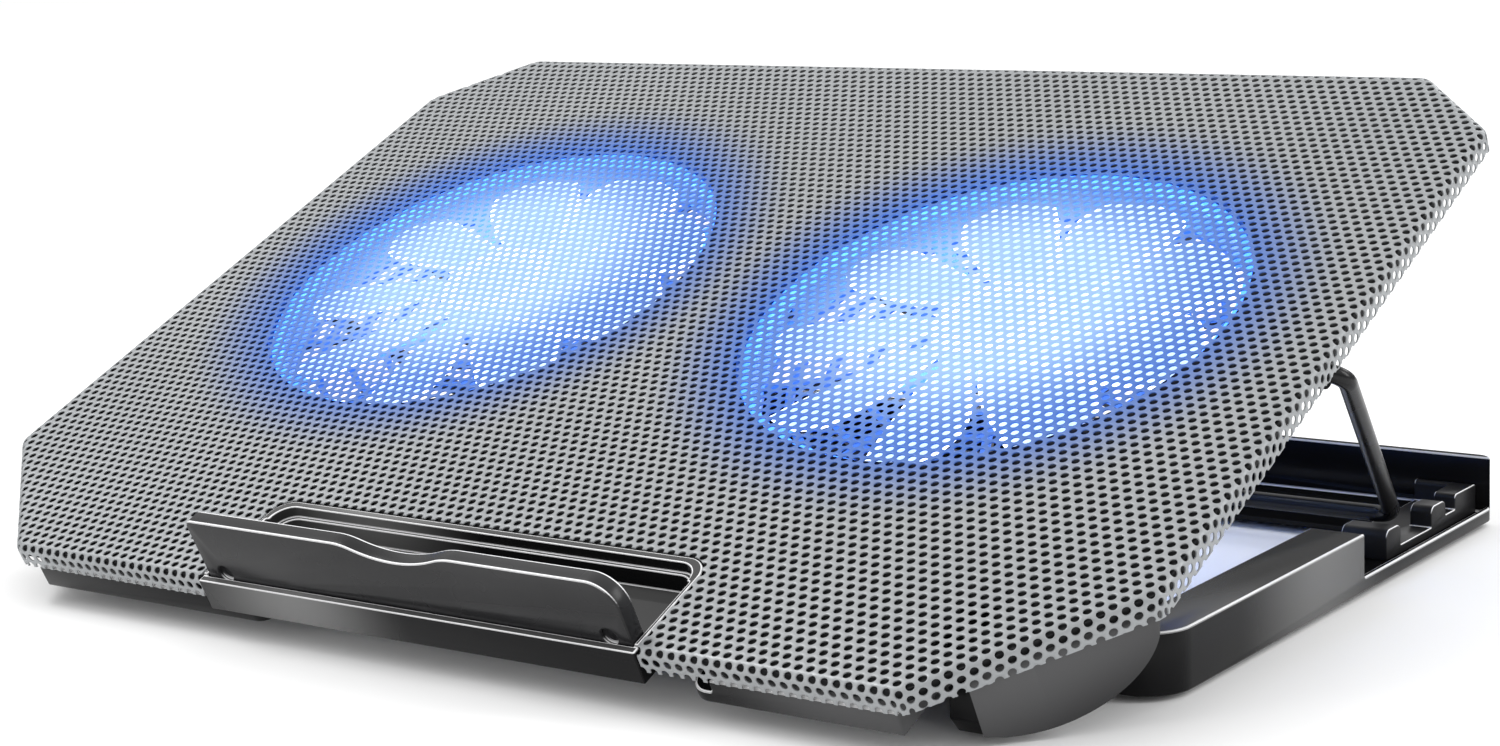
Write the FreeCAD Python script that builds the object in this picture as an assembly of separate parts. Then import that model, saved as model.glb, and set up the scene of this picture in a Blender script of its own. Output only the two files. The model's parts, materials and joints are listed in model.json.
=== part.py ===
"""Laptop cooling pad: a perforated panel with two fans, hinged on a low base ring and propped by a steel bail.

Units are millimetres and +Z is up. The origin is on the table under the middle of the whole pad; +Y is the back.
The panel's own pieces are drawn in the panel frame: X across, Y up the slope from the front fold of the
perforated sheet, Z along the sheet's outward normal with 0 on its top face. on_panel() turns them into place.
"""

import FreeCAD, Part
import math
import os

V = FreeCAD.Vector

# Driving dimensions: the panel, in the panel frame
PANEL_WIDTH = 390.0
PANEL_DEPTH = 280.0
FRONT_CHAMFER = 45.0
REAR_CHAMFER = 28.0
CORNER_RADIUS = 6.0
TILT = 24.2  # degrees, the bail standing in its foremost notch
SHEET = 1.0
SKIRT = 7.0
FLANGE_BOTTOM = -4.3
SHELL_INSET = 1.2
WALL = 2.0
TOUCH = 0.1  # left between neighbours of one body that only meet
SEAT = 0.2  # left all round a piece that sits in another
CLEAR = 0.3  # left between a moving piece and what it passes
BEYOND = 1.0  # how far a cut is drawn past the faces it opens

# The recess at the front and the flip-up stop in it, panel frame
RECESS_HALF = 75.0
RECESS_DEPTH = 35.5
RECESS_RADIUS = 7.0
TRAY_FLOOR = -8.8
TRAY_BOTTOM = -10.6
BAFFLE_HALF = 73.0
BAFFLE_TOP = 17.2
BAFFLE_THICK = 5.0
BAFFLE_AXIS_Y = 4.6
BAFFLE_AXIS_N = -4.0
BAFFLE_PIN = 1.4
BAFFLE_PIN_LENGTH = 1.6
BAFFLE_ROUND = 8.5
BAFFLE_TOP_ROUND = 2.0
BAFFLE_NOTCH_X = 66.0
BAFFLE_NOTCH_RISE = 4.4
BAFFLE_NOTCH_RADIUS = 2.4
BAFFLE_NOTCH_DEPTH = 1.6
DIP_RADIUS = 42.0
DIP_DEPTH = 3.6
DIP_X = 1.0
DIP_ROUND = 20.0
TRAY_RIM = -0.3
TRAY_LIP = -0.9
TRAY_LIP_FRONT = -0.6
LEDGE = -3.4
LEDGE_INSET = 2.6
ROOM_INSET = 4.0
SWING_REAR = 26.6

# Fans, panel frame
FAN_X = 90.0
FAN_Y = 153.0
WELL_OUTER = 74.0
WELL_BOTTOM = -18.0
ROTOR_RADIUS = 66.5
HUB_RADIUS = 18.0
HUB_TOP = -4.0
BLADES = 9
BLADE_PITCH = 11.0  # degrees, the leading side high
BLADE_THICK = 1.2
# Radius and angle in degrees along a blade's leading side, its tip and its trailing side
BLADE_LEAD = [(17.4, -16.0), (28.0, -5.0), (40.0, 0.0), (52.0, 0.0), (60.0, -4.0)]
BLADE_TIP = [(60.0, -4.0), (64.0, -10.0), (65.8, -17.0), (66.5, -26.0)]
BLADE_TRAIL = [(66.5, -26.0), (58.0, -29.0), (44.0, -34.0), (30.0, -42.0), (17.4, -50.0)]
BLADE_MIDDLE = -8.8
BLADE_TURN = -20.0  # degrees from the depth to the line that a blade is pitched about
CUP_WALL = 1.6
CUP_ROOF = 1.4
CUP_BOTTOM = -13.6
SHAFT_RADIUS = 2.0
SHAFT_BOTTOM = -14.0
FRAME_BOTTOM = -15.6
FRAME_TOP = -6.8
PLATE_TOP = -14.2
HOOP_INNER = ROTOR_RADIUS + 2.6
STRUTS = 4
STRUT_HALF = 2.5
TUBE_RADIUS = 4.5
TUBE_TOP = -7.6
POLES = 8
POLE_HALF = 2.0
POLE_REACH = 13.4
CORE_RADIUS = 8.0
MAGNET_THICK = 2.2
LED_BOTTOM = -6.6
LED_TOP = -3.4
GUARD_THICK = 1.6
GUARD_RINGS = (30.0, 41.0, 52.0, 62.5)
GUARD_WIDTH = 2.2
SPOKES = 8
SPOKE_HALF = 1.4

# The channel for the leads and the electronics box under the panel, panel frame
CHANNEL_HALF = 16.0
CHANNEL_FRONT = 108.0
BOARD_HALF = 34.0
BOARD_FRONT = 222.0
BOARD_REAR = 248.0
CHANNEL_BOTTOM = -13.4
COVER_BOTTOM = -15.2
PORTS_X = (-20.0, 20.0)
PORT_N = -8.4
PORT_HALF = 7.0
PORT_RISE = 3.3
PORT_FRONT = 234.0
PORT_METAL = 0.5
TONGUE_HALF = 5.6
TONGUE_RISE = 1.0
TONGUE_REAR = 241.0
SWITCH_HALF = 6.0
SWITCH_RISE = 2.4
SWITCH_FRONT = 238.0
TRACK_HALF = 4.6
TRACK_RISE = 1.4
TRACK_FRONT = 240.0
KNOB_RISE = 1.1
KNOB_NECK = 245.0
KNOB_PROUD = 1.6
BOARD_BOTTOM = -13.2
BOARD_TOP = -12.2
BOARD_CLEAR = 0.6
SCREW_BORE = 1.3
SCREW_SHANK = 1.25
SCREW_HEAD = 2.4
SCREW_HEAD_HEIGHT = 1.2
COVER_SCREWS = [(0, 112.0), (0, 206.0), (-30.0, 226.0), (30.0, 226.0), (-30.0, 244.0), (30.0, 244.0)]

# The leads' way out of a well, panel frame
SLOT_INNER = 12.0
SLOT_OUTER = 30.0
SLOT_HALF = 4.0
SLOT_BOTTOM = -12.0
SLOT_TOP = -8.0
LEAD_OUTER = 20.6
LEAD_TURN = 11.0
LEAD_WIDTH = 2.4
LEAD_HALF = 1.3
LEAD_BOTTOM = -10.6
LEAD_TOP = -9.6
LEAD_END = 228.0
LEAD_DROP = 1.4

# The low blocks under the front wings, panel frame
FOOT_FRONT = 0.6
FOOT_REAR = 28.0
FOOT_BOTTOM = -14.0
FOOT_STEP = 1.4
TOE_ROUND = 6.0
# Where a block starts beside the tray, where it ends, and how far its toe runs in
FOOT_LEFT = (-76.0, -144.5, -55.0)
FOOT_RIGHT = (94.0, 148.0, 86.0)

# The base ring, heights and depths measured from the front fold of the panel
FOLD_HEIGHT = 17.5
FOOT_PAD = 1.5
BASE_HALF = 183.0
BASE_HEIGHT = 16.0
BASE_FRONT = 66.0
BASE_REAR = 266.0
ARM_WIDTH = 16.0
ARM_END = 176.0
BAR_DEPTH = 12.0
REAR_BAR_FRONT = 232.0
TRAY_WALL_HEIGHT = 4.0
REAR_WALL_HEIGHT = 19.0
TRAY_INNER = 160.0
FRONT_ROUND = 12.0
SMALL_ROUND = 5.0
SIDE_WALL = 2.0
REAR_WALL = 3.0
REAR_BLOCK = 12.0
TRAY_THICK = 2.4
BAR_FLOOR = 3.6
STEP_DEPTH = 8.0
STEP_DROP = 1.6
PAD_HALF = 12.0
PAD_HALF_DEPTH = 3.6
PAD_ROUND = 3.0
PAD_X = 140.0
PAD_REAR = 16.0

# The racks
RACK_INNER = 171.8
RACK_OUTER = 178.4
RACK_FRONT = 200.0
RACK_REAR = 262.6
TOOTH_TOP = -5.2
TOOTH_ROUND = 2.4
STOP_ROUND = 1.4
BED_TOP = -11.2
BED_CLEAR = 0.4
FIRST_TOOTH = 9.5
FIRST_TOOTH_REACH = 7.0
SECOND_TOOTH = (230.6, 240.6)
THIRD_TOOTH = 247.4
END_STOP = 259.6
BRIDGE = 1.6

# The hinge between base and panel, and the bail
HINGE_Y = 26.0
HINGE_Z = 4.5
HINGE_PIN = 2.0
LOBE_RADIUS = 20.0
LOBE_INNER = 160.0
LOBE_OUTER = 200.0
LOBE_INSET = 0.6
EAR_EYE = 4.6
EAR_INNER = 150.0
EAR_OUTER = 158.0
EAR_CLEAR = 0.6
EAR_TOP = -1.0
EAR_BOTTOM = -12.0
EAR_DEPTH = 4.0
WINDOW_HALF = 8.0
PIN_END = 170.6
PIN_CLEAR = 0.4
ROD = 2.5
BAIL_PIVOT_X = 191.0
BAIL_PIVOT_Y = 154.3
BAIL_PIVOT_N = -15.2
EYE_X = 184.75  # the ears under the flange that hold the bail's ends
EYE_THICK = 2.5
EYE_RADIUS = 4.4
BAIL_FOOT_X = 168.0
BAIL_FOOT_Y = 227.6
BAIL_FOOT_Z = -7.9
KNEE_BEND = 3.0
FOOT_BEND = 6.0
RUN = 0.05  # radial clearance of a running fit

SIN = math.sin(math.radians(TILT))
COS = math.cos(math.radians(TILT))
BAFFLE_FRONT = BAFFLE_AXIS_Y - BAFFLE_THICK / 2
FRONT_REACH = BAFFLE_FRONT * COS - BAFFLE_TOP * SIN
Y_SHIFT = -(BASE_REAR + FRONT_REACH) / 2
BASE_BOTTOM = -BASE_HEIGHT  # the arms' tops are level with the fold
HINGE_PY = HINGE_Y * COS + HINGE_Z * SIN
HINGE_PN = -HINGE_Y * SIN + HINGE_Z * COS


def box(x0, x1, y0, y1, z0, z1):
    return Part.makeBox(x1 - x0, y1 - y0, z1 - z0, V(x0, y0, z0))


def cylinder(radius, start, end):
    axis = V(*end) - V(*start)
    return Part.makeCylinder(radius, axis.Length, V(*start), axis)


def disc(radius, x, y, z0, z1):
    return Part.makeCylinder(radius, z1 - z0, V(x, y, z0))


def ring(outer, inner, x, y, z0, z1):
    return disc(outer, x, y, z0, z1).cut(disc(inner, x, y, z0 - 1, z1 + 1))


def fused(shapes):
    first, *rest = shapes
    return first.fuse(rest).removeSplitter() if rest else first


def prism(points, x0, x1):
    """A solid with the outline points (y, z), drawn from x0 to x1."""
    corners = [V(x0, y, z) for y, z in points]
    face = Part.Face(Part.makePolygon(corners + corners[:1]))
    return face.extrude(V(x1 - x0, 0, 0))


def plan(points, z0, z1):
    """A solid with the outline points (x, y), drawn from z0 to z1."""
    corners = [V(x, y, z0) for x, y in points]
    face = Part.Face(Part.makePolygon(corners + corners[:1]))
    return face.extrude(V(0, 0, z1 - z0))


def along(solid, axis, keep=lambda middle: True):
    """The solid's straight edges that run along axis and whose middles pass keep."""
    found = []
    for edge in solid.Edges:
        ends = [vertex.Point for vertex in edge.Vertexes]
        if len(ends) == 2 and isinstance(edge.Curve, Part.Line):
            run = (ends[1] - ends[0]).normalize()
            if abs(abs(run.dot(axis)) - 1) < 1e-6 and keep((ends[0] + ends[1]) * 0.5):
                found.append(edge)
    return found


def octagon(inset, z0, z1):
    """The panel's outline, moved in by inset."""
    half = PANEL_WIDTH / 2 - inset
    near = inset
    far = PANEL_DEPTH - inset
    front = FRONT_CHAMFER - inset * (2 - math.sqrt(2))
    rear = REAR_CHAMFER - inset * (2 - math.sqrt(2))
    points = [
        (-half + front, near), (half - front, near), (half, near + front), (half, far - rear),
        (half - rear, far), (-half + rear, far), (-half, far - rear), (-half, near + front),
    ]
    solid = plan(points, z0, z1)
    return solid.makeFillet(CORNER_RADIUS - inset / 2, along(solid, V(0, 0, 1)))


def recess(inset, z0, z1, front=-5.0):
    """The space of the front recess, moved in by inset, open at the front."""
    solid = box(-RECESS_HALF + inset, RECESS_HALF - inset, front, RECESS_DEPTH - inset, z0, z1)
    return solid.makeFillet(RECESS_RADIUS - inset / 2, along(solid, V(0, 0, 1), lambda p: p.y > 0))


def mirrored(solid):
    return solid.mirror(V(0, 0, 0), V(1, 0, 0))


def settle(solid):
    """Moves a solid from the fold's height and depth into the row frame."""
    moved = solid.copy()
    moved.translate(V(0, Y_SHIFT, FOLD_HEIGHT))
    return moved


def on_panel(solid):
    """Turns a solid from the panel frame into the row frame."""
    moved = solid.copy()
    moved.rotate(V(0, 0, 0), V(1, 0, 0), TILT)
    return settle(moved)


def to_panel(y, z):
    """A point beside the fold, as Y and Z of the panel frame."""
    return y * COS + z * SIN, -y * SIN + z * COS


# Panel body

def mesh_cover():
    """The perforated sheet with its turned-down skirt; a plain sheet here, its holes are left to the looks."""
    outer = octagon(0, -SKIRT, 0)
    inner = octagon(SHEET, -SKIRT - 1, -SHEET)
    return outer.cut(inner).cut(recess(0, -SKIRT - 2, 2))


def front_foot(inner, outer, toe):
    """A block under one front wing, with a low toe that runs in under the tray and ends in a round."""
    x0, x1 = sorted((inner, outer))
    block = box(x0, x1, FOOT_FRONT, FOOT_REAR, FOOT_BOTTOM, -SKIRT - TOUCH)
    block = block.fuse(box(x0, x1, FOOT_FRONT + FOOT_STEP, FOOT_REAR, -SKIRT - TOUCH, FLANGE_BOTTOM))
    x0, x1 = sorted((inner, toe))
    low = box(x0, x1, FOOT_FRONT, FOOT_REAR, FOOT_BOTTOM, TRAY_BOTTOM - TOUCH)
    low = low.makeFillet(TOE_ROUND, along(low, V(0, 0, 1), lambda p: abs(p.x - toe) < TOUCH))
    return block.fuse(low).removeSplitter()


def bottom_shell():
    """The flange under the sheet, with the openings of the two fan wells and the windows for the base's ears."""
    cuts = [recess(-SEAT, WELL_BOTTOM, BEYOND)]
    for side in (-1, 1):
        cuts.append(disc(WELL_OUTER - WALL, side * FAN_X, FAN_Y, WELL_BOTTOM, BEYOND))
        cuts.append(hinge_window(side))
    return octagon(SHELL_INSET, FLANGE_BOTTOM, -SHEET).cut(cuts)


def fan_well(side):
    """The round wall that hangs from the flange round one fan, with a gap for its leads."""
    wall = ring(WELL_OUTER, WELL_OUTER - WALL, side * FAN_X, FAN_Y, WELL_BOTTOM, FLANGE_BOTTOM)
    return wall.cut(lead_slot(side))


def lead_channel():
    """The walls between the wells that lead the fans' wires back, and the electronics box behind them."""
    strip = box(-CHANNEL_HALF, CHANNEL_HALF, CHANNEL_FRONT, BOARD_FRONT + WALL, CHANNEL_BOTTOM, FLANGE_BOTTOM)
    housing = box(-BOARD_HALF, BOARD_HALF, BOARD_FRONT, BOARD_REAR, CHANNEL_BOTTOM, FLANGE_BOTTOM)
    strip_room = box(
        -CHANNEL_HALF + WALL, CHANNEL_HALF - WALL, CHANNEL_FRONT + WALL, BOARD_FRONT + WALL + BEYOND,
        CHANNEL_BOTTOM - BEYOND, FLANGE_BOTTOM + BEYOND,
    )
    board_room = box(
        -BOARD_HALF + WALL, BOARD_HALF - WALL, BOARD_FRONT + WALL, BOARD_REAR - WALL,
        CHANNEL_BOTTOM - BEYOND, FLANGE_BOTTOM + BEYOND,
    )
    cuts = [strip_room, board_room]
    for side in (-1, 1):
        cuts.append(disc(WELL_OUTER, side * FAN_X, FAN_Y, WELL_BOTTOM, BEYOND))
        cuts.append(lead_slot(side))
    windows = [(x, PORT_HALF + CLEAR, PORT_RISE + CLEAR) for x in PORTS_X]
    windows.append((0.0, SWITCH_HALF + SEAT, SWITCH_RISE + SEAT))
    for x, half, rise in windows:
        through = (BOARD_REAR - WALL - BEYOND, BOARD_REAR + BEYOND)
        cuts.append(box(x - half, x + half, *through, PORT_N - rise, PORT_N + rise))
    return strip.fuse(housing).cut(cuts)


def bail_eye(side):
    """The ear under the flange that one end of the bail turns in."""
    x0 = side * (EYE_X - EYE_THICK / 2)
    x1 = side * (EYE_X + EYE_THICK / 2)
    plate = prism(
        [(BAIL_PIVOT_Y - EYE_RADIUS, BAIL_PIVOT_N), (BAIL_PIVOT_Y - 2 * EYE_RADIUS, FLANGE_BOTTOM),
         (BAIL_PIVOT_Y + 2 * EYE_RADIUS, FLANGE_BOTTOM), (BAIL_PIVOT_Y + EYE_RADIUS, BAIL_PIVOT_N)],
        x0, x1,
    )
    end = cylinder(EYE_RADIUS, (x0, BAIL_PIVOT_Y, BAIL_PIVOT_N), (x1, BAIL_PIVOT_Y, BAIL_PIVOT_N))
    start = (side * (EYE_X - EYE_THICK), BAIL_PIVOT_Y, BAIL_PIVOT_N)
    bore = cylinder(ROD + RUN, start, (side * (EYE_X + EYE_THICK), BAIL_PIVOT_Y, BAIL_PIVOT_N))
    return plate.fuse(end).cut(bore).removeSplitter()


def lead_slot(side):
    """The gap in a well's wall and the channel's wall where a fan's leads pass."""
    x0, x1 = sorted((side * SLOT_INNER, side * SLOT_OUTER))
    return box(x0, x1, FAN_Y - SLOT_HALF, FAN_Y + SLOT_HALF, SLOT_BOTTOM, SLOT_TOP)


def hinge_window(side):
    """The gap in the flange above a base ear, so that the ear's eye can turn under the sheet."""
    x0, x1 = sorted((side * (EAR_INNER - EAR_CLEAR), side * (EAR_OUTER + EAR_CLEAR)))
    return box(x0, x1, HINGE_PY - WINDOW_HALF, HINGE_PY + WINDOW_HALF, FLANGE_BOTTOM - BEYOND, 0)


def hinge_housing(side):
    """The round housing under a front chamfer, centred on the hinge, with the bore for its pin."""
    x0, x1 = sorted((side * LOBE_INNER, side * LOBE_OUTER))
    roll = cylinder(LOBE_RADIUS, (x0, HINGE_PY, HINGE_PN), (x1, HINGE_PY, HINGE_PN))
    below = HINGE_PN - LOBE_RADIUS - BEYOND
    shaped = roll.common(octagon(SHELL_INSET + LOBE_INSET, below, FLANGE_BOTTOM))
    start = (side * (LOBE_INNER - BEYOND), HINGE_PY, HINGE_PN)
    return shaped.cut(cylinder(HINGE_PIN + RUN, start, (side * (PIN_END + PIN_CLEAR), HINGE_PY, HINGE_PN)))


def baffle_tray():
    """The sunken tray in the recess: a stepped rim, side walls with the stop's pin holes, and the front lip."""
    lip = BAFFLE_FRONT - CLEAR
    swing_half = BAFFLE_HALF + PIN_CLEAR
    body = recess(SEAT, TRAY_BOTTOM, TRAY_RIM, front=TRAY_LIP_FRONT)
    ledge = recess(LEDGE_INSET, LEDGE, BEYOND, front=lip)
    room = recess(ROOM_INSET, TRAY_FLOOR, BEYOND, front=lip)
    swing = box(-swing_half, swing_half, lip, SWING_REAR, TRAY_FLOOR, BEYOND)
    lip_cut = box(-RECESS_HALF, RECESS_HALF, -2 * BEYOND, lip, TRAY_LIP, BEYOND)
    body = body.cut([ledge, room, swing, lip_cut])
    for side in (-1, 1):
        start = (side * (BAFFLE_HALF - BEYOND), BAFFLE_AXIS_Y, BAFFLE_AXIS_N)
        end = (side * (BAFFLE_HALF + BAFFLE_PIN_LENGTH + SEAT), BAFFLE_AXIS_Y, BAFFLE_AXIS_N)
        body = body.cut(cylinder(BAFFLE_PIN + RUN, start, end))
    return body.removeSplitter()


def fan_frame(side):
    """A fan's frame: the ring, four struts and the motor plate with its bearing tube."""
    x = side * FAN_X
    hoop = ring(WELL_OUTER - WALL - SEAT, HOOP_INNER, x, FAN_Y, FRAME_BOTTOM, FRAME_TOP)
    plate = disc(HUB_RADIUS - 1, x, FAN_Y, FRAME_BOTTOM, PLATE_TOP)
    bars = []
    for k in range(STRUTS):
        bar = box(-STRUT_HALF, STRUT_HALF, HUB_RADIUS - 3, HOOP_INNER + 1.4, FRAME_BOTTOM, PLATE_TOP)
        bar.rotate(V(0, 0, 0), V(0, 0, 1), (k + 0.5) * 360 / STRUTS)
        bar.translate(V(x, FAN_Y, 0))
        bars.append(bar)
    tube = ring(TUBE_RADIUS, SHAFT_RADIUS + RUN, x, FAN_Y, PLATE_TOP, TUBE_TOP)
    bore = disc(SHAFT_RADIUS + RUN, x, FAN_Y, PLATE_TOP, TUBE_TOP + BEYOND)
    return fused([hoop, plate, tube] + bars).cut([bore, lead_slot(side)])


def stator(side):
    """The motor's coils round the bearing tube: eight poles on a core ring."""
    x = side * FAN_X
    bottom = PLATE_TOP + 0.8
    top = TUBE_TOP - 0.8
    poles = [ring(CORE_RADIUS, TUBE_RADIUS + TOUCH, x, FAN_Y, bottom, top)]
    for k in range(POLES):
        pole = box(-POLE_HALF, POLE_HALF, CORE_RADIUS - 1, POLE_REACH, bottom + SEAT, top - SEAT)
        pole.rotate(V(0, 0, 0), V(0, 0, 1), k * 360 / POLES)
        pole.translate(V(x, FAN_Y, 0))
        poles.append(pole)
    return fused(poles)


def led_ring(side):
    """The lit ring above a fan frame's hoop."""
    return ring(WELL_OUTER - WALL - 2 * SEAT, HOOP_INNER, side * FAN_X, FAN_Y, LED_BOTTOM, LED_TOP)


def intake_grille(side):
    """The finger guard across the bottom of a well."""
    x = side * FAN_X
    rim = WELL_OUTER - WALL - SEAT
    top = WELL_BOTTOM + GUARD_THICK
    pieces = [disc(HUB_RADIUS, x, FAN_Y, WELL_BOTTOM, top)]
    for radius in (*GUARD_RINGS, rim):
        pieces.append(ring(radius, radius - GUARD_WIDTH, x, FAN_Y, WELL_BOTTOM, top))
    for k in range(SPOKES):
        spoke = box(-SPOKE_HALF, SPOKE_HALF, HUB_RADIUS - 2, rim - 1, WELL_BOTTOM, top)
        spoke.rotate(V(0, 0, 0), V(0, 0, 1), (k + 0.5) * 360 / SPOKES)
        spoke.translate(V(x, FAN_Y, 0))
        pieces.append(spoke)
    return fused(pieces)


def service_cover():
    """The plate that closes the channel and the electronics box from below."""
    strip = box(-CHANNEL_HALF, CHANNEL_HALF, CHANNEL_FRONT, BOARD_FRONT + WALL, COVER_BOTTOM, CHANNEL_BOTTOM)
    lid = box(-BOARD_HALF, BOARD_HALF, BOARD_FRONT, BOARD_REAR, COVER_BOTTOM, CHANNEL_BOTTOM)
    body = fused([strip, lid])
    cuts = [disc(SCREW_BORE, x, y, COVER_BOTTOM - BEYOND, CHANNEL_BOTTOM + BEYOND) for x, y in COVER_SCREWS]
    cuts += [disc(WELL_OUTER + TOUCH, side * FAN_X, FAN_Y, WELL_BOTTOM, 0) for side in (-1, 1)]
    return body.cut(cuts)


def cover_screws():
    """Pan-head screws through the service cover, a group of separate solids."""
    screws = []
    for x, y in COVER_SCREWS:
        shank = disc(SCREW_SHANK, x, y, COVER_BOTTOM, CHANNEL_BOTTOM)
        head = disc(SCREW_HEAD, x, y, COVER_BOTTOM - SCREW_HEAD_HEIGHT, COVER_BOTTOM)
        screws.append(shank.fuse(head).removeSplitter())
    return Part.makeCompound(screws)


def control_board():
    """The circuit board that feeds the fans, the lit rings and the sockets."""
    half = BOARD_HALF - WALL - BOARD_CLEAR
    front = BOARD_FRONT + WALL + 4 * BOARD_CLEAR
    rear = BOARD_REAR - WALL - 1.4
    return box(-half, half, front, rear, BOARD_BOTTOM, BOARD_TOP)


def usb_port(x):
    """A metal socket shell on the board, open to the back, with its tongue set well in."""
    half = PORT_HALF - PORT_METAL
    rise = PORT_RISE - PORT_METAL
    back = PORT_FRONT + 2 * PORT_METAL
    shell = box(
        x - PORT_HALF, x + PORT_HALF, PORT_FRONT, BOARD_REAR - SEAT, PORT_N - PORT_RISE, PORT_N + PORT_RISE,
    )
    room = box(x - half, x + half, back, BOARD_REAR + BEYOND, PORT_N - rise, PORT_N + rise)
    tongue = box(
        x - TONGUE_HALF, x + TONGUE_HALF, back, TONGUE_REAR, PORT_N - TONGUE_RISE, PORT_N + TONGUE_RISE,
    )
    return shell.cut(room).fuse(tongue).removeSplitter()


def switch_body():
    """The box of the slide switch, with the track its knob runs in."""
    rear = BOARD_REAR - CLEAR
    body = box(-SWITCH_HALF, SWITCH_HALF, SWITCH_FRONT, rear, PORT_N - SWITCH_RISE, PORT_N + SWITCH_RISE)
    return body.cut(
        box(-TRACK_HALF, TRACK_HALF, TRACK_FRONT, BOARD_REAR, PORT_N - TRACK_RISE, PORT_N + TRACK_RISE)
    )


def fan_leads():
    """The two fans' flat leads, down the channel to the board; sealed inside."""
    leads = []
    for side in (-1, 1):
        x0, x1 = sorted((side * LEAD_TURN, side * LEAD_OUTER))
        out = box(x0, x1, FAN_Y - LEAD_HALF, FAN_Y + LEAD_HALF, LEAD_BOTTOM, LEAD_TOP)
        x0, x1 = sorted((side * (LEAD_TURN - LEAD_WIDTH), side * LEAD_TURN))
        down = box(x0, x1, FAN_Y - LEAD_HALF, LEAD_END, LEAD_BOTTOM, LEAD_TOP)
        drop = box(x0, x1, LEAD_END - LEAD_DROP, LEAD_END, BOARD_TOP, LEAD_BOTTOM)
        leads.append(fused([out, down, drop]))
    return Part.makeCompound(leads)


# Bodies that move on the panel

def baffle_plate():
    """The flip-up stop: a thick plate with a rounded foot about its hinge, a finger dip and two hinge notches."""
    y0 = BAFFLE_FRONT
    y1 = BAFFLE_FRONT + BAFFLE_THICK
    plate = box(-BAFFLE_HALF, BAFFLE_HALF, y0, y1, BAFFLE_AXIS_N, BAFFLE_TOP)
    plate = plate.makeFillet(BAFFLE_ROUND, along(plate, V(0, 1, 0), lambda p: p.x > 0 and p.z > 0))
    plate = plate.makeFillet(BAFFLE_TOP_ROUND, along(plate, V(0, 1, 0), lambda p: p.x < 0 and p.z > 0))
    start = (-BAFFLE_HALF, BAFFLE_AXIS_Y, BAFFLE_AXIS_N)
    foot = cylinder(BAFFLE_THICK / 2, start, (BAFFLE_HALF, BAFFLE_AXIS_Y, BAFFLE_AXIS_N))
    plate = plate.fuse(foot)
    dip_z = BAFFLE_TOP - DIP_DEPTH + DIP_RADIUS
    plate = plate.cut(cylinder(DIP_RADIUS, (DIP_X, y0 - BEYOND, dip_z), (DIP_X, y1 + BEYOND, dip_z)))
    mouth = along(plate, V(0, 1, 0), lambda p: abs(p.z - BAFFLE_TOP) < TOUCH and abs(p.x - DIP_X) < DIP_RADIUS)
    plate = plate.makeFillet(DIP_ROUND, mouth)
    for side in (-1, 1):
        x = side * BAFFLE_NOTCH_X
        z = BAFFLE_AXIS_N + BAFFLE_NOTCH_RISE
        notch = cylinder(BAFFLE_NOTCH_RADIUS, (x, y0 - BEYOND, z), (x, y0 + BAFFLE_NOTCH_DEPTH, z))
        plate = plate.cut(notch)
    return plate.removeSplitter()


def baffle_pin(side):
    """The stub that the stop turns on at one end."""
    start = (side * BAFFLE_HALF, BAFFLE_AXIS_Y, BAFFLE_AXIS_N)
    end = (side * (BAFFLE_HALF + BAFFLE_PIN_LENGTH), BAFFLE_AXIS_Y, BAFFLE_AXIS_N)
    return cylinder(BAFFLE_PIN, start, end)


def polar(points, z):
    """Points at height z from pairs of radius and angle in degrees, 0 degrees lying along the depth."""
    places = [(radius, math.radians(angle)) for radius, angle in points]
    return [V(-radius * math.sin(angle), radius * math.cos(angle), z) for radius, angle in places]


def blade():
    """One broad blade in the plan of its three outline curves, pitched about its own radius."""
    edges = []
    for outline in (BLADE_LEAD, BLADE_TIP, BLADE_TRAIL):
        curve = Part.BSplineCurve()
        curve.interpolate(polar(outline, WELL_BOTTOM))
        edges.append(curve.toShape())
    root = Part.LineSegment(edges[2].valueAt(edges[2].LastParameter), edges[0].valueAt(edges[0].FirstParameter))
    column = Part.Face(Part.Wire(edges + [root.toShape()])).extrude(V(0, 0, -WELL_BOTTOM))
    slab = box(
        -ROTOR_RADIUS, ROTOR_RADIUS, 0, 2 * ROTOR_RADIUS, -BLADE_THICK / 2, BLADE_THICK / 2,
    )
    slab.rotate(V(0, 0, 0), V(0, 1, 0), BLADE_PITCH)
    slab.translate(V(0, 0, BLADE_MIDDLE))
    slab.rotate(V(0, 0, 0), V(0, 0, 1), BLADE_TURN)
    return column.common(slab)


def rotor(side):
    """A fan's hub cup with its ring of blades; both fans turn the same way."""
    room = disc(HUB_RADIUS - CUP_WALL, 0, 0, WELL_BOTTOM, HUB_TOP - CUP_ROOF)
    pieces = [disc(HUB_RADIUS, 0, 0, CUP_BOTTOM, HUB_TOP).cut(room)]
    for k in range(BLADES):
        turned = blade()
        turned.rotate(V(0, 0, 0), V(0, 0, 1), 360.0 * k / BLADES)
        pieces.append(turned)
    body = fused(pieces).cut(room)
    body.translate(V(side * FAN_X, FAN_Y, 0))
    return body


def magnet_ring(side):
    """The ring magnet inside a hub cup."""
    outer = HUB_RADIUS - CUP_WALL
    bottom = CUP_BOTTOM + 0.6
    top = HUB_TOP - CUP_ROOF - 1.0
    return ring(outer, outer - MAGNET_THICK, side * FAN_X, FAN_Y, bottom, top)


def rotor_shaft(side):
    """The steel shaft of a rotor, running in the bearing tube."""
    return disc(SHAFT_RADIUS, side * FAN_X, FAN_Y, SHAFT_BOTTOM, HUB_TOP - CUP_ROOF)


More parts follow.
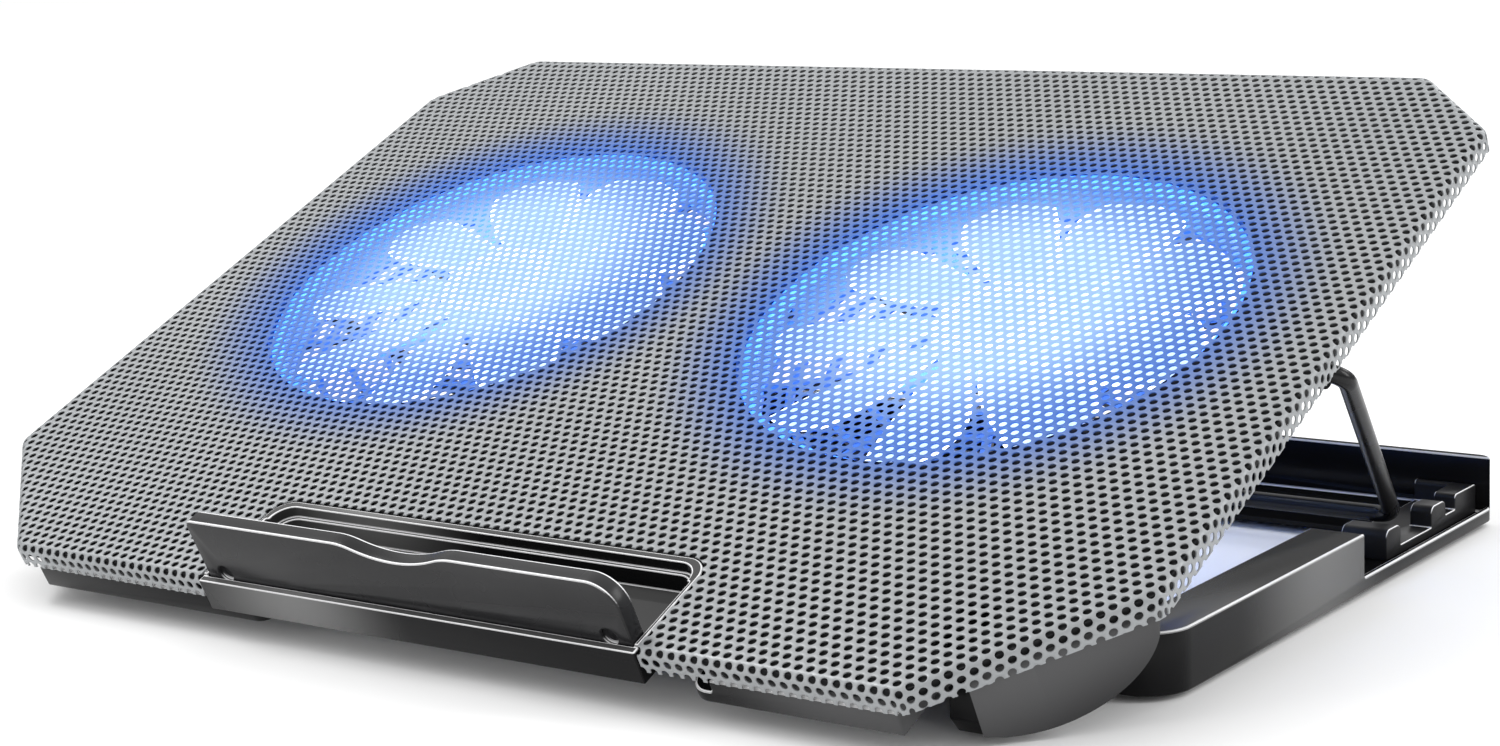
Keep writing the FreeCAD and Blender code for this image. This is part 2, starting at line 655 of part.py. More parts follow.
def switch_knob():
    """The knob of the slide switch, standing out of its track at the back."""
    low = PORT_N - KNOB_RISE
    high = PORT_N + KNOB_RISE
    foot = box(-TRACK_HALF + CLEAR, 0.5, TRACK_FRONT + PIN_CLEAR, KNOB_NECK, low, high)
    grip = box(-3.4, -0.4, KNOB_NECK, BOARD_REAR + KNOB_PROUD, low, high)
    return foot.fuse(grip).removeSplitter()


def bail_rod():
    """One steel rod: a pin at each end, two splayed legs and the crossbar, bent round tangent arcs."""
    foot_y, foot_n = to_panel(BAIL_FOOT_Y, BAIL_FOOT_Z)
    pin = V(EYE_X - EYE_THICK / 2 + TOUCH, BAIL_PIVOT_Y, BAIL_PIVOT_N)
    knee = V(BAIL_PIVOT_X, BAIL_PIVOT_Y, BAIL_PIVOT_N)
    foot = V(BAIL_FOOT_X, foot_y, foot_n)
    right = [pin, knee, foot]
    left = [V(-p.x, p.y, p.z) for p in reversed(right)]
    points = right + left
    radii = [KNEE_BEND, FOOT_BEND, FOOT_BEND, KNEE_BEND]
    edges = []
    last = points[0]
    for before, corner, after, radius in zip(points, points[1:], points[2:], radii):
        back = (before - corner).normalize()
        ahead = (after - corner).normalize()
        half = back.getAngle(ahead) / 2
        reach = radius / math.tan(half)
        start = corner + back * reach
        end = corner + ahead * reach
        middle = corner + (back + ahead).normalize() * (radius / math.sin(half) - radius)
        edges.append(Part.LineSegment(last, start).toShape())
        edges.append(Part.Arc(start, middle, end).toShape())
        last = end
    edges.append(Part.LineSegment(last, points[-1]).toShape())
    path = Part.Wire(edges)
    section = Part.Wire(Part.makeCircle(ROD, points[0], V(1, 0, 0)))
    return path.makePipeShell([section], True, True)


# Base body, from the fold's height and depth

def base_frame():
    """The ring: two tall arms, a front bar with its hinge ears, and the rear tray with low sides and a tall back."""
    whole = box(-BASE_HALF, BASE_HALF, BASE_FRONT, BASE_REAR, BASE_BOTTOM, 0)
    whole = whole.makeFillet(FRONT_ROUND, along(whole, V(0, 0, 1), lambda p: p.y < ARM_END))
    whole = whole.makeFillet(SMALL_ROUND, along(whole, V(0, 0, 1), lambda p: p.y > ARM_END))
    wall_top = BASE_BOTTOM + REAR_WALL_HEIGHT
    back = box(-BASE_HALF, BASE_HALF, BASE_REAR - REAR_BLOCK, BASE_REAR, BASE_BOTTOM, wall_top)
    back = back.makeFillet(SMALL_ROUND, along(back, V(0, 0, 1), lambda p: p.y > BASE_REAR - TOUCH))
    body = whole.fuse(back)
    inner = BASE_HALF - ARM_WIDTH
    below = BASE_BOTTOM - BEYOND
    above = wall_top + BEYOND
    front_room = box(-inner, inner, BASE_FRONT + BAR_DEPTH, ARM_END + BEYOND, below, above)
    front_room = front_room.makeFillet(SMALL_ROUND, along(front_room, V(0, 0, 1), lambda p: p.y < ARM_END))
    side_inside = BASE_HALF - SIDE_WALL
    bar_floor = BASE_BOTTOM + BAR_FLOOR
    rear_inside = BASE_REAR - REAR_WALL
    wide = BASE_HALF + BEYOND
    cuts = [
        front_room,
        box(-TRAY_INNER, TRAY_INNER, ARM_END, REAR_BAR_FRONT, below, above),
        box(-side_inside, side_inside, ARM_END, rear_inside, bar_floor, above),
        box(-wide, wide, ARM_END, rear_inside, BASE_BOTTOM + TRAY_WALL_HEIGHT, above),
    ]
    for side in (-1, 1):
        x0, x1 = sorted((side * TRAY_INNER, side * side_inside))
        cuts.append(box(x0, x1, ARM_END, rear_inside, BASE_BOTTOM + TRAY_THICK, above))
    step_rear = REAR_BAR_FRONT + STEP_DEPTH
    step = box(-TRAY_INNER, TRAY_INNER, REAR_BAR_FRONT - BEYOND, step_rear, bar_floor - STEP_DROP, above)
    cuts.append(step)
    body = body.cut(cuts)
    for side in (-1, 1):
        body = body.fuse(base_ear(side))
    for side in (-1, 1):
        start = (side * (EAR_INNER - BEYOND), HINGE_Y, HINGE_Z)
        body = body.cut(cylinder(HINGE_PIN, start, (side * (EAR_OUTER + BEYOND), HINGE_Y, HINGE_Z)))
    return body.removeSplitter()


def base_ear(side):
    """A hinge ear: an upright plate from the front bar forward to the eye."""
    points = [
        (HINGE_Y - EAR_EYE, HINGE_Z), (HINGE_Y - EAR_EYE, EAR_BOTTOM), (HINGE_Y - 1.0, BASE_BOTTOM),
        (BASE_FRONT + EAR_DEPTH, BASE_BOTTOM), (BASE_FRONT + EAR_DEPTH, EAR_TOP),
        (HINGE_Y + 2 * EAR_EYE, EAR_TOP), (HINGE_Y + EAR_EYE, HINGE_Z),
    ]
    plate = prism(points, side * EAR_INNER, side * EAR_OUTER)
    eye = cylinder(EAR_EYE, (side * EAR_INNER, HINGE_Y, HINGE_Z), (side * EAR_OUTER, HINGE_Y, HINGE_Z))
    return plate.fuse(eye)


def rack(side):
    """A notched rack: its bed under the crossbar's lane, and the teeth beside and beyond the lane."""
    inner = TRAY_INNER + BED_CLEAR
    first_inner = RACK_INNER - FIRST_TOOTH_REACH
    first_rear = RACK_FRONT + FIRST_TOOTH
    second_front, second_rear = SECOND_TOOTH
    bed = box(inner, RACK_OUTER, RACK_FRONT, RACK_REAR, BASE_BOTTOM + TRAY_THICK, BED_TOP)
    first = box(first_inner, RACK_OUTER, RACK_FRONT, first_rear, BED_TOP, TOOTH_TOP)
    second = box(RACK_INNER, RACK_OUTER, second_front, second_rear, BED_TOP, TOOTH_TOP)
    third = box(RACK_INNER, RACK_OUTER, THIRD_TOOTH, RACK_REAR, BED_TOP, TOOTH_TOP)
    rear = box(inner, RACK_OUTER, END_STOP, RACK_REAR, BED_TOP, TOOTH_TOP)
    bridge = box(RACK_INNER, RACK_OUTER, second_rear, THIRD_TOOTH, BED_TOP, BED_TOP + BRIDGE)
    rounded = []
    for tooth, radius in ((first, TOOTH_ROUND), (second, TOOTH_ROUND), (fused([third, rear]), STOP_ROUND)):
        edges = along(tooth, V(1, 0, 0), lambda p: p.z > TOOTH_TOP - TOUCH)
        rounded.append(tooth.makeFillet(radius, edges))
    body = fused([bed, bridge] + rounded)
    return mirrored(body) if side < 0 else body


def hinge_pin(side):
    """A steel pin, pressed into the ear and running in the panel's housing."""
    return cylinder(HINGE_PIN, (side * EAR_INNER, HINGE_Y, HINGE_Z), (side * PIN_END, HINGE_Y, HINGE_Z))


def foot_pad(x, y):
    """A rubber pad under the base ring."""
    y0 = y - PAD_HALF_DEPTH
    y1 = y + PAD_HALF_DEPTH
    pad = box(x - PAD_HALF, x + PAD_HALF, y0, y1, BASE_BOTTOM - FOOT_PAD, BASE_BOTTOM)
    return pad.makeFillet(PAD_ROUND, along(pad, V(0, 0, 1)))


NODES = {
    "mesh_cover": on_panel(mesh_cover()),
    "bottom_shell": on_panel(bottom_shell()),
    "lead_channel": on_panel(lead_channel()),
    "front_foot_left": on_panel(front_foot(*FOOT_LEFT)),
    "front_foot_right": on_panel(front_foot(*FOOT_RIGHT)),
    "baffle_tray": on_panel(baffle_tray()),
    "baffle_plate": on_panel(baffle_plate()),
    "service_cover": on_panel(service_cover()),
    "cover_screws": on_panel(cover_screws()),
    "control_board": on_panel(control_board()),
    "switch_body": on_panel(switch_body()),
    "switch_knob": on_panel(switch_knob()),
    "fan_leads": on_panel(fan_leads()),
    "bail_rod": on_panel(bail_rod()),
    "base_frame": settle(base_frame()),
}
for side, name in ((-1, "left"), (1, "right")):
    NODES["hinge_housing_" + name] = on_panel(hinge_housing(side))
    NODES["fan_well_" + name] = on_panel(fan_well(side))
    NODES["bail_eye_" + name] = on_panel(bail_eye(side))
    NODES["fan_frame_" + name] = on_panel(fan_frame(side))
    NODES["stator_" + name] = on_panel(stator(side))
    NODES["led_ring_" + name] = on_panel(led_ring(side))
    NODES["intake_grille_" + name] = on_panel(intake_grille(side))
    NODES["rotor_" + name] = on_panel(rotor(side))
    NODES["magnet_ring_" + name] = on_panel(magnet_ring(side))
    NODES["rotor_shaft_" + name] = on_panel(rotor_shaft(side))
    NODES["usb_port_" + name] = on_panel(usb_port(PORTS_X[(side + 1) // 2]))
    NODES["baffle_pin_" + name] = on_panel(baffle_pin(side))
    NODES["rack_" + name] = settle(rack(side))
    NODES["hinge_pin_" + name] = settle(hinge_pin(side))
    NODES["foot_pad_front_" + name] = settle(foot_pad(side * PAD_X, BASE_FRONT + BAR_DEPTH / 2))
    NODES["foot_pad_rear_" + name] = settle(foot_pad(side * PAD_X, BASE_REAR - PAD_REAR))

os.makedirs("parts", exist_ok=True)
for name, solid in NODES.items():
    solid.exportStep("parts/" + name + ".step")
    print(name, len(solid.Solids), "solid", "valid" if solid.isValid() else "INVALID", round(solid.Volume))
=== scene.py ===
"""Looks for the laptop cooling pad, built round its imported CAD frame.

Panel pieces are drawn in the panel's own frame, in millimetres: X across, Y up the slope from the front fold
of the perforated sheet, Z along the sheet's outward normal with 0 on its top face. PANEL turns them into the
row frame, in which every other length is given, in metres.
"""

import json
import math

import bmesh
import bpy
import numpy as np
from mathutils import Matrix, Vector


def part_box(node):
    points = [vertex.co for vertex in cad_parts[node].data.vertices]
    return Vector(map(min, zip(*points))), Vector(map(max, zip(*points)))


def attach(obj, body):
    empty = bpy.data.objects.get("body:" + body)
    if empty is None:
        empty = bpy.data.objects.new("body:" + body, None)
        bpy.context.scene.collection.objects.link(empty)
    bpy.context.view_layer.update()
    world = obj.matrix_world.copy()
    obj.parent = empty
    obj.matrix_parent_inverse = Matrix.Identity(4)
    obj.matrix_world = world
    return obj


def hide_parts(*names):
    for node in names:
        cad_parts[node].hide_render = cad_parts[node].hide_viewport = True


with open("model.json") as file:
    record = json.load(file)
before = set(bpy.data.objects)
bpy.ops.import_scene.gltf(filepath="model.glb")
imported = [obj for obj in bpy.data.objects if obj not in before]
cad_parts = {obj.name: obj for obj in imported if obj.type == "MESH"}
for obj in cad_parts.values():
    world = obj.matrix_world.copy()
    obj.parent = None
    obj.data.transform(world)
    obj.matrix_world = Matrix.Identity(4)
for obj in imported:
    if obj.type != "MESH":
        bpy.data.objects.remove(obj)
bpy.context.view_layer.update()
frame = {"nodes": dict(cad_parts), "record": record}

MM = 0.001
nodes = frame["nodes"]
joints = {joint["name"]: joint for joint in frame["record"]["behaviour"]["joints"]}

# The panel frame, from the record's fan axis and the sheet's box
SKIRT = 7.0
normal = Vector(joints["fan_spin_left"]["axis"]).normalized()
tilt = math.atan2(-normal.y, normal.z)
sheet_low, sheet_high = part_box("mesh_cover")
FOLD = Vector((0.0, sheet_low.y, sheet_low.z + SKIRT * MM * normal.z))
PANEL = Matrix.Translation(FOLD) @ Matrix.Rotation(tilt, 4, "X")
TO_PANEL = PANEL.inverted()
HALF = sheet_high.x / MM
DEPTH = (sheet_high.z - FOLD.z) / MM / math.sin(tilt)
FAN_X = joints["fan_spin_right"]["pos_m"][0] / MM
FAN_Y = (TO_PANEL @ Vector(joints["fan_spin_right"]["pos_m"])).y / MM

BLACK = (0.006, 0.006, 0.0065, 1)
# Pale grey painted onto upward-facing rounded edges as a painted highlight
EDGE_HIGHLIGHT_GREY = (0.86, 0.86, 0.87, 1)
PLASTIC_IOR = 1.45
CLOUD_SHADE = 0.25
SILVER_DARK = (0.265, 0.278, 0.288, 1)
SILVER_LIGHT = (0.335, 0.345, 0.353, 1)
# Painted blue light on the sheet round the fans: a darker blue tint and a glow, though the sheet is no lamp
SILVER_PAINTED_BLUE = (0.04, 0.10, 0.26, 1)
HALO_BLUE = (0.035, 0.16, 0.80, 1)
DISC_BLUE = (0.46, 0.66, 0.95, 1)
HALO_GLOW = 0.36
DISC_GLOW = 0.72
DISC_FADE = (0.030, 0.070)  # metres from a fan's centre over which the disc's painted pale glow ends
HALO_FADE = (0.066, 0.100)
# The blades' colours: a painted glow, and painted highlights on their edges
BLADE_BASE = (0.44, 0.60, 0.80, 1)
BLADE_EDGE_HIGHLIGHT = (0.80, 0.92, 1.0, 1)
BLADE_LIGHT = (0.64, 0.80, 1.0, 1)
EDGE_LIGHT = (0.90, 0.96, 1.0, 1)
FROSTED = (0.25, 0.45, 1.0, 1)
RING_BLUE = (0.03, 0.17, 1.0, 1)
# Blue painted onto the fan frame and the well walls as glow
WALL_BLUE = (0.04, 0.20, 1.0, 1)
WALL_BLACK = (0.012, 0.014, 0.02, 1)
NOISE_SPAN = (0.3, 0.7)  # most of a noise's values lie in this
WELL_INSIDE = 72.4  # millimetres from a fan's axis, inside which the walls get painted blue light


# Shader helpers

def shade(colour, factor):
    """A colour made lighter or darker by a factor."""
    return tuple(min(1.0, part * factor) for part in colour[:3]) + (1,)


class Graph:
    """A node tree, and short ways to add and join its nodes."""

    def __init__(self, tree):
        self.tree = tree

    def node(self, kind, inputs=None, **settings):
        made = self.tree.nodes.new(kind)
        for key, value in settings.items():
            setattr(made, key, value)
        for key, value in (inputs or {}).items():
            socket = made.inputs[key]
            if hasattr(value, "is_output"):
                self.tree.links.new(value, socket)
            else:
                socket.default_value = value
        return made

    def place(self):
        return self.node("ShaderNodeTexCoord").outputs["Object"]

    def split(self, vector):
        return self.node("ShaderNodeSeparateXYZ", {"Vector": vector}).outputs

    def join(self, x, y, z):
        return self.node("ShaderNodeCombineXYZ", {"X": x, "Y": y, "Z": z}).outputs[0]

    def noise(self, scale, detail=3.0, where=None, rough=0.5):
        inputs = {"Vector": where or self.place(), "Scale": scale, "Detail": detail, "Roughness": rough}
        return self.node("ShaderNodeTexNoise", inputs).outputs["Fac"]

    def math(self, operation, first, second=0.0):
        return self.node("ShaderNodeMath", {0: first, 1: second}, operation=operation).outputs[0]

    def vector(self, operation, first, second, output=0):
        inputs = {0: first, (3 if operation == "SCALE" else 1): second}
        return self.node("ShaderNodeVectorMath", inputs, operation=operation).outputs[output]

    def span(self, value, low, high, to_low, to_high, smooth=False):
        inputs = {"Value": value, "From Min": low, "From Max": high, "To Min": to_low, "To Max": to_high}
        kind = "SMOOTHSTEP" if smooth else "LINEAR"
        return self.node("ShaderNodeMapRange", inputs, interpolation_type=kind).outputs["Result"]

    def mix(self, factor, first, second):
        return self.node("ShaderNodeMix", {0: factor, 6: first, 7: second}, data_type="RGBA").outputs[2]

    def attribute(self, name):
        return self.node("ShaderNodeAttribute", attribute_name=name).outputs["Fac"]


class Shader(Graph):
    """A material's nodes round its Principled shader."""

    def __init__(self, name, **values):
        self.material = bpy.data.materials.new(name)
        self.material.use_nodes = True
        super().__init__(self.material.node_tree)
        self.surface = self.tree.nodes["Principled BSDF"]
        for key, value in values.items():
            self.surface.inputs[key.replace("_", " ")].default_value = value

    def link(self, output, name):
        self.tree.links.new(output, self.surface.inputs[name])

    def bump(self, height, strength, distance):
        inputs = {"Height": height, "Strength": strength, "Distance": distance}
        self.link(self.node("ShaderNodeBump", inputs).outputs["Normal"], "Normal")

    def uneven(self, noise, middle, spread, name):
        """Links a value that follows a noise from middle - spread to middle + spread."""
        self.link(self.span(noise, *NOISE_SPAN, middle - spread, middle + spread), name)

    def moulded(self, colour, roughness, spread, grain, depth):
        """Links a moulded surface: its colour, with a painted highlight on its upper edges, its uneven gloss
        and its grain.
        """
        self.link(self.mix(self.attribute("painted_edge_highlight"), colour, EDGE_HIGHLIGHT_GREY), "Base Color")
        self.uneven(self.noise(38.0, 2.0), roughness, spread, "Roughness")
        self.bump(self.noise(grain, 2.0), 0.35, depth)
        return self.material


def plastic(name, colour, roughness, spread, grain, depth, sheen=0.3, painted_sheen=None):
    """Moulded plastic with faint clouds of colour, and, if given, broad pale patches of painted sheen."""
    shader = Shader(name, Roughness=roughness, IOR=PLASTIC_IOR, Specular_IOR_Level=sheen)
    light, dark = shade(colour, 1 + CLOUD_SHADE), shade(colour, 1 - CLOUD_SHADE)
    cloudy = shader.mix(shader.noise(90.0, 4.0), dark, light)
    if painted_sheen:
        # Painted sheen: broad pale patches standing in for studio reflections on the gloss
        broad = shader.span(shader.noise(11.0, 0.0), 0.46, 0.68, 0.0, 1.0, smooth=True)
        cloudy = shader.mix(broad, cloudy, painted_sheen)
    return shader.moulded(cloudy, roughness, spread, grain, depth)


def gloss_with_painted_light(name, axis, top_highlight_at, side_highlight_at, half, painted_top_grey, painted_highlight_grey):
    """Gloss black with painted light: greyer on what faces up, as if lit from above, and a painted pale
    highlight round one place along an axis.
    """
    roughness = 0.18
    shader = Shader(name, Roughness=roughness, IOR=PLASTIC_IOR, Specular_IOR_Level=0.15)
    coordinates = shader.node("ShaderNodeTexCoord").outputs
    along = shader.split(coordinates["Object"])[axis]
    # Painted top light: faces that look up are painted greyer
    up = shader.span(shader.split(coordinates["Normal"])["Z"], 0.2, 0.7, 0.0, 1.0, smooth=True)
    middle = shader.span(up, 0.0, 1.0, side_highlight_at, top_highlight_at)
    off = shader.math("ABSOLUTE", shader.math("SUBTRACT", along, middle))
    # Painted highlight: paler round one place, fading away from it
    painted_sheen = shader.span(off, 0.0, half, 1.0, 0.0, smooth=True)
    painted_top_light = shader.mix(up, BLACK, (painted_top_grey, painted_top_grey, painted_top_grey, 1))
    pale = shader.mix(painted_sheen, painted_top_light, (painted_highlight_grey, painted_highlight_grey, painted_highlight_grey, 1))
    return shader.moulded(pale, roughness, 0.05, 260.0, 0.00003)


def metal(name, colour, roughness, spread, scale, stretch=(1, 1, 1)):
    """Metal with brushed or cloudy variation, stretched along the way it was worked."""
    shader = Shader(name, Metallic=1.0, Roughness=roughness)
    mapped = shader.node("ShaderNodeMapping", {"Vector": shader.place(), "Scale": stretch}).outputs[0]
    grain = shader.noise(scale, 4.0, mapped)
    shader.uneven(grain, roughness, spread, "Roughness")
    shader.link(shader.mix(grain, shade(colour, 0.86), colour), "Base Color")
    shader.bump(grain, 0.2, 0.00004)
    return shader.material


def fan_distance(shader):
    """Distance in metres from the nearer fan's centre, measured in the panel's plane."""
    spot = shader.split(shader.place())
    across = shader.math("SUBTRACT", shader.math("ABSOLUTE", spot["X"]), FAN_X * MM)
    along = shader.math("SUBTRACT", spot["Y"], FAN_Y * MM)
    squares = shader.math("ADD", shader.math("POWER", across, 2.0), shader.math("POWER", along, 2.0))
    return shader.math("SQRT", squares)


def sheet_metal():
    """The perforated sheet: satin silver, with the fans' blue light painted on round the wells, as a glow and
    a darker blue tint.
    """
    shader = Shader("perforated_sheet", Metallic=0.35, Roughness=0.45)
    cloud = shader.noise(14.0, 3.0)
    grain = shader.noise(900.0, 2.0)
    away = fan_distance(shader)
    inner = shader.span(away, *DISC_FADE, 1.0, 0.0, smooth=True)
    fall = shader.span(away, *HALO_FADE, 1.0, 0.0, smooth=True)
    silver = shader.mix(cloud, SILVER_DARK, SILVER_LIGHT)
    # Painted light: the silver turns dark blue near the fans
    shader.link(shader.mix(fall, silver, SILVER_PAINTED_BLUE), "Base Color")
    shader.uneven(grain, 0.46, 0.08, "Roughness")
    shader.bump(grain, 0.25, 0.00003)
    shader.link(shader.mix(inner, HALO_BLUE, DISC_BLUE), "Emission Color")
    glow = shader.span(inner, 0.0, 1.0, HALO_GLOW, DISC_GLOW)
    shader.link(shader.math("MULTIPLY", shader.math("POWER", fall, 1.6), glow), "Emission Strength")
    return shader.material


def blade_plastic():
    """Ice-blue translucent plastic with painted light: a glow standing in for the rim's light, and painted
    highlights that whiten its edges.
    """
    shader = Shader("lit_blades", Roughness=0.28, IOR=1.46, Transmission_Weight=0.25)
    edge = shader.attribute("edge")
    shader.link(shader.mix(edge, BLADE_BASE, BLADE_EDGE_HIGHLIGHT), "Base Color")
    shader.link(shader.mix(edge, BLADE_LIGHT, EDGE_LIGHT), "Emission Color")
    streaks = shader.span(shader.noise(60.0, 3.0), *NOISE_SPAN, 0.68, 0.96)
    shader.link(shader.math("ADD", streaks, shader.math("MULTIPLY", edge, 1.3)), "Emission Strength")
    shader.bump(shader.noise(400.0, 2.0), 0.2, 0.00005)
    return shader.material


def lit_plastic(name, colour, strength):
    """Frosted plastic that glows from inside, a little unevenly: the LED ring's own light, and painted glow on
    the fan frame, which is no lamp.
    """
    shader = Shader(name, Roughness=0.4, Base_Color=FROSTED, Emission_Color=colour)
    shader.uneven(shader.noise(45.0, 1.0), strength, strength * 0.2, "Emission Strength")
    shader.bump(shader.noise(500.0, 1.0), 0.2, 0.00005)
    return shader.material


def glowing_walls():
    """Black plastic with the ring's light painted on as a blue glow, where it faces up the panel or towards
    the fan's axis.
    """
    shader = Shader("walls_in_blue_light", Roughness=0.45, IOR=PLASTIC_IOR)
    shader.surface.inputs["Base Color"].default_value = WALL_BLACK
    shader.surface.inputs["Emission Color"].default_value = WALL_BLUE
    coordinates = shader.node("ShaderNodeTexCoord").outputs
    spot, facing = shader.split(coordinates["Object"]), shader.split(coordinates["Normal"])
    # Both fans are folded over onto the right one
    place = shader.join(shader.math("ABSOLUTE", spot["X"]), spot["Y"], spot["Z"])
    folded = shader.math("MULTIPLY", facing["X"], shader.math("SIGN", spot["X"]))
    toward = shader.join(folded, facing["Y"], facing["Z"])
    fan = PANEL @ (Vector((FAN_X, FAN_Y, 0)) * MM)
    arm = shader.vector("SUBTRACT", place, fan)
    lift = shader.vector("SCALE", normal, shader.vector("DOT_PRODUCT", arm, normal, "Value"))
    radial = shader.vector("SUBTRACT", arm, lift)
    reach = shader.node("ShaderNodeVectorMath", {0: radial}, operation="LENGTH").outputs["Value"]
    inner_side = shader.math("LESS_THAN", shader.vector("DOT_PRODUCT", radial, toward, "Value"), -0.004)
    top_side = shader.math("GREATER_THAN", shader.vector("DOT_PRODUCT", toward, normal, "Value"), 0.2)
    within = shader.math("LESS_THAN", reach, WELL_INSIDE * MM)
    seen = shader.math("MULTIPLY", shader.math("MAXIMUM", inner_side, top_side), within)
    level = shader.span(shader.noise(30.0, 2.0), *NOISE_SPAN, 0.75, 1.1)
    shader.link(shader.math("MULTIPLY", seen, level), "Emission Strength")
    shader.bump(shader.noise(1300.0, 2.0), 0.35, 0.00008)
    return shader.material


M = {
    "sheet": sheet_metal(),
    # The gloss and stop plastics get broad patches of painted sheen, from the last colour given
    "gloss": plastic("gloss_black_plastic", BLACK, 0.16, 0.05, 260.0, 0.00003, 0.2, (0.09, 0.09, 0.092, 1)),
    "stop": plastic("semi_gloss_black_plastic", (0.012, 0.012, 0.013, 1), 0.26, 0.06, 700.0, 0.00004,
                    painted_sheen=(0.04, 0.04, 0.041, 1)),
    # The tray and the base carry painted light: greyer tops and a painted pale highlight round given places
    "tray": gloss_with_painted_light("gloss_black_tray", "X", top_highlight_at=-0.040, side_highlight_at=-0.040, half=0.042,
                         painted_top_grey=0.06, painted_highlight_grey=0.15),
    "base": gloss_with_painted_light("gloss_black_base", "Y", top_highlight_at=-0.050, side_highlight_at=0.018, half=0.048,
                         painted_top_grey=0.006, painted_highlight_grey=0.11),
    "satin": plastic("satin_black_plastic", (0.010, 0.010, 0.011, 1), 0.46, 0.08, 1300.0, 0.00008),
    "rod": plastic("black_paint", (0.010, 0.010, 0.011, 1), 0.27, 0.07, 1100.0, 0.00006),
    "rubber": plastic("dull_rubber", (0.02, 0.02, 0.02, 1), 0.75, 0.1, 900.0, 0.0001),
    "leads": plastic("lead_sheath", (0.03, 0.03, 0.032, 1), 0.5, 0.08, 800.0, 0.00005),
    "board": plastic("solder_mask", (0.015, 0.13, 0.055, 1), 0.35, 0.08, 500.0, 0.00004),
    "steel": metal("turned_steel", (0.58, 0.58, 0.59, 1), 0.28, 0.06, 600.0, (8, 1, 1)),
    "plated": metal("plated_steel", (0.72, 0.72, 0.73, 1), 0.2, 0.05, 300.0),
    "copper": metal("copper_windings", (0.78, 0.40, 0.20, 1), 0.32, 0.08, 900.0, (1, 1, 14)),
    "magnet": metal("sintered_magnet", (0.16, 0.16, 0.165, 1), 0.55, 0.1, 1500.0),
    "blades": blade_plastic(),
    "lit": lit_plastic("lit_ring_plastic", RING_BLUE, 3.6),
    # The fan frame is no lamp: its glow is painted light
    "frame": lit_plastic("frosted_frame_plastic", WALL_BLUE, 0.95),
    "walls": glowing_walls(),
}


# Mesh helpers

def finish_mesh(obj, material, body, node, angle=38.0):
    """Shades a piece, gives it its material, rides it on its body and lets it stand for its node."""
    mesh = obj.data
    mesh.materials.clear()
    mesh.materials.append(M[material])
    mesh.shade_smooth()
    mesh.set_sharp_from_angle(angle=math.radians(angle))
    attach(obj, body)
    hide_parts(node)


def new_object(name, data, where=None):
    """A new object in the scene, in the row frame unless where says otherwise."""
    obj = bpy.data.objects.new(name, data)
    bpy.context.scene.collection.objects.link(obj)
    if where is not None:
        obj.matrix_world = where
    return obj


# Rounded copies of CAD nodes

SEGMENTS = 3
HARD = math.radians(28)
FLAT = math.radians(0.6)
RUN_ON = math.radians(130)  # two edges that meet at a wider angle run on as one
ROOM = 1.15
EDGE_HIGHLIGHT_SHARE = 2.2
EDGE_HIGHLIGHT_FROM = 0.12  # how far a face has to look up before its edge gets the painted highlight
EAR_SIDE = 0.172  # the base's edges inside this and in front of EAR_BACK lie under the panel
EAR_BACK = -0.060


def roomy(edge, width):
    """Whether what meets an edge's ends is long enough to be cut back by a bevel of this width."""
    for corner in edge.verts:
        along = edge.other_vert(corner).co - corner.co
        for other in corner.link_edges:
            way = other.other_vert(corner).co - corner.co
            if other is not edge and along.angle(way) < RUN_ON and way.length < ROOM * width * MM:
                return False
    return True


def soften(node, body, material, slot, width, clamp=False):
    """A copy of a CAD node with its hard edges rounded off, its upper edges marked for a painted highlight."""
    mesh = nodes[node].data.copy()
    work = bmesh.new()
    work.from_mesh(mesh)
    bmesh.ops.remove_doubles(work, verts=work.verts, dist=1e-6)
    bmesh.ops.dissolve_limit(work, angle_limit=FLAT, verts=work.verts, edges=work.edges)
    hard = [e for e in work.edges if len(e.link_faces) == 2 and e.calc_face_angle(0) > HARD]
    hard = [e for e in hard if clamp or roomy(e, width)]
    painted_edge_highlight = work.faces.layers.float.new("painted_edge_highlight")
    rounded = bmesh.ops.bevel(
        work, geom=hard, offset=width * MM, offset_type="OFFSET", segments=SEGMENTS, profile=0.5,
        affect="EDGES", clamp_overlap=clamp, miter_outer="ARC",
    )
    for face in rounded["faces"]:
        spot = face.calc_center_median()
        under = "housing" in node or (body == "base" and spot.y < EAR_BACK and abs(spot.x) < EAR_SIDE)
        if not under:
            # Rounded faces that look up get a painted highlight, stronger the more they face up
            face[painted_edge_highlight] = min(1.0, EDGE_HIGHLIGHT_SHARE * max(0.0, face.normal.z - EDGE_HIGHLIGHT_FROM))
    bmesh.ops.remove_doubles(work, verts=work.verts, dist=2e-6)
    work.to_mesh(mesh)
    work.free()
    mesh.name = node + "_soft"
    finish_mesh(new_object(node + "_soft", mesh), material, body, node)


# The perforated sheet: a hexagonal tiling of cells, each with its hole, drawn flat and bent round its edges

PITCH = 3.412
ROW = PITCH * math.sqrt(3) / 2
HOLE = 1.12
RIM = 0.17
RIM_DROP = 0.13
THICK = 0.42
FIRST_ROW = 0.3
FOLD_RADIUS = 2.5
CORNER = 6.0
FRONT_CHAMFER = 45.0
REAR_CHAMFER = 28.0
NOTCH_HALF = 75.0
NOTCH_DEPTH = 35.6
NOTCH_RADIUS = 7.0
BANDS = 5
SIDES = 12
CORNER_STEPS = 3
NOTCH_STEPS = 5
WELD = 5000.0  # points that round to the same 1/WELD mm are one
SLIVER = 0.002


